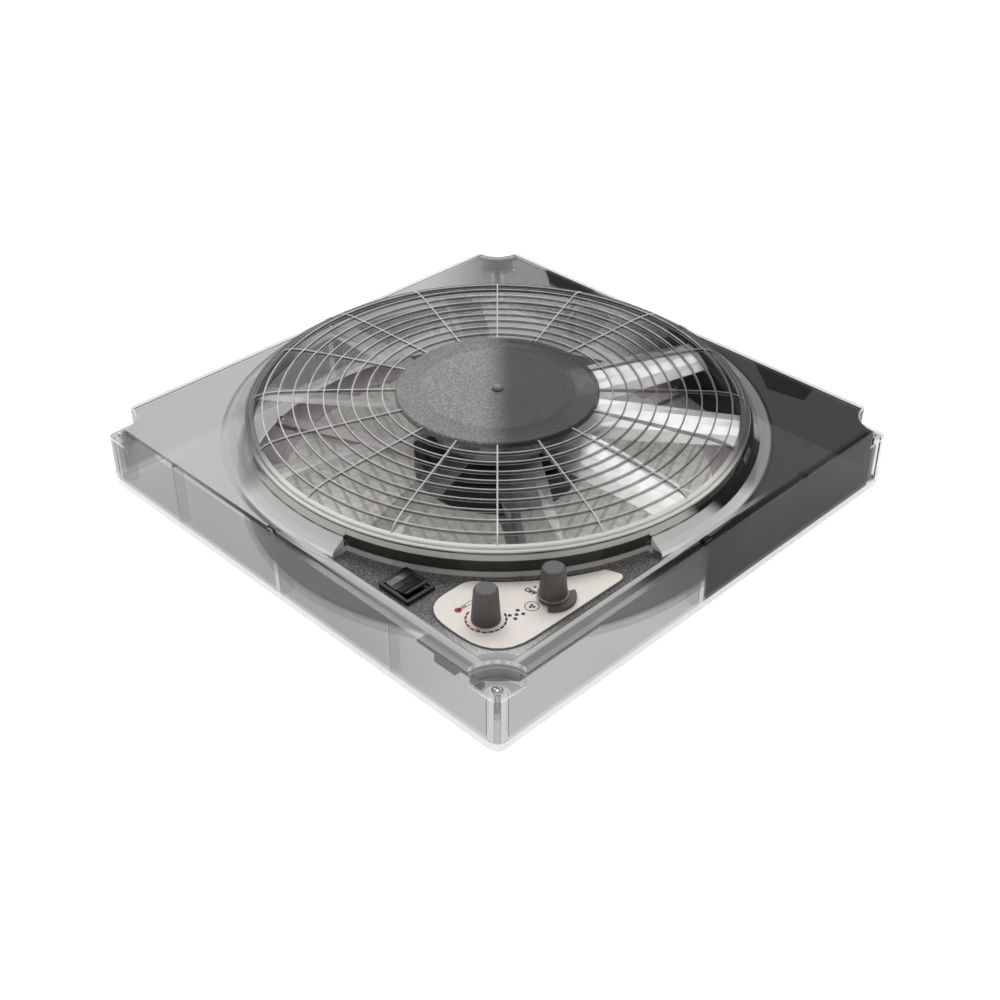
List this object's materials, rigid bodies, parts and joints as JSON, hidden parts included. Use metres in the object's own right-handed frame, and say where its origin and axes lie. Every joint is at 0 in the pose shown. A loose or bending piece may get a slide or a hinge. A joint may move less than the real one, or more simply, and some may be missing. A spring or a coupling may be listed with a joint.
{
  "type": "roof vent fan",
  "caption": "Square smoked clear roof-vent frame with a dished guard grille over a motor-driven paddle fan, an insect screen and a corner control panel.",
  "frame": {"origin": "centre of the square rim that seats on the ceiling or roof lining", "axes": "+Z out of the room-side face through the grille, X and Y along the square sides, control corner at +X -Y"},
  "size_m": [0.44, 0.44, 0.0904],
  "materials": {
    "smoked_clear": "smoked clear moulded plastic, glossy, grained on the control floor",
    "grille_grey": "pale grey moulded ribs, grained hub disc",
    "blade_milky": "milky translucent moulded plastic",
    "satin_black": "satin black",
    "knob_grey": "warm dark grey, satin",
    "label_cream": "printed cream film",
    "screen_frame_grey": "warm grey moulded ring",
    "mesh_tan": "woven insect mesh",
    "carrier_grey": "warm grey moulded arms",
    "motor_black": "black drawn can",
    "motor_cap": "black moulded cap",
    "screw_steel": "zinc plated steel",
    "shaft_steel": "ground steel",
    "bearing_brass": "sintered bearing",
    "board_white": "pale circuit board",
    "pot_zinc": "zinc can",
    "capacitor_sleeve": "grey sleeve",
    "terminal_grey": "grey terminal block",
    "fuse_tan": "translucent tan",
    "sensor_bead": "dark resin bead",
    "lead_black": "black sheath"
  },
  "bodies": {
    "vent_frame": {"frame": "smoked_clear", "shroud": "smoked_clear", "grille": "grille_grey", "grille_screw": "screw_steel", "screen_frame": "screen_frame_grey", "insect_screen": "mesh_tan", "motor_carrier": "carrier_grey", "carrier_screw_1": "screw_steel", "carrier_screw_2": "screw_steel", "carrier_screw_3": "screw_steel", "motor_can": "motor_black", "motor_end_cap": "motor_cap", "motor_bearing": "bearing_brass", "corner_screw_1": "screw_steel", "corner_screw_2": "screw_steel", "corner_screw_3": "screw_steel", "corner_screw_4": "screw_steel", "control_label": "label_cream", "thermostat_pot": "pot_zinc", "speed_switch": "pot_zinc", "rocker_body": "satin_black", "control_board": "board_white", "board_screw_1": "screw_steel", "board_screw_2": "screw_steel", "capacitor": "capacitor_sleeve", "terminal_block": "terminal_grey", "fuse_holder": "satin_black", "blade_fuse": "fuse_tan", "drive_transistor": "satin_black", "temperature_sensor": "sensor_bead", "motor_lead": "lead_black"},
    "fan_rotor": {"fan": "blade_milky", "fan_shaft": "shaft_steel", "fan_nut": "screw_steel"},
    "thermostat_dial": {"thermostat_knob": "knob_grey", "thermostat_spindle": "shaft_steel"},
    "speed_dial": {"speed_knob": "knob_grey", "speed_spindle": "shaft_steel"},
    "rocker": {"rocker_paddle": "satin_black"}
  },
  "joints": [
    {"name": "fan_spin", "type": "hinge", "parent": "vent_frame", "child": "fan_rotor", "pos_m": [0, 0, 0.0655], "axis": [0, 0, 1], "continuous": true},
    {"name": "thermostat_turn", "type": "hinge", "parent": "vent_frame", "child": "thermostat_dial", "pos_m": [0.1654, -0.1761, 0.06], "axis": [0, 0, 1], "range_deg": [-135, 135]},
    {"name": "speed_turn", "type": "hinge", "parent": "vent_frame", "child": "speed_dial", "pos_m": [0.1813, -0.1285, 0.06], "axis": [0, 0, 1], "range_deg": [-270, 0]},
    {"name": "rocker_tilt", "type": "hinge", "parent": "vent_frame", "child": "rocker", "pos_m": [0.1035, -0.1902, 0.0568], "axis": [0, 1, 0], "range_deg": [0, 14]}
  ]
}
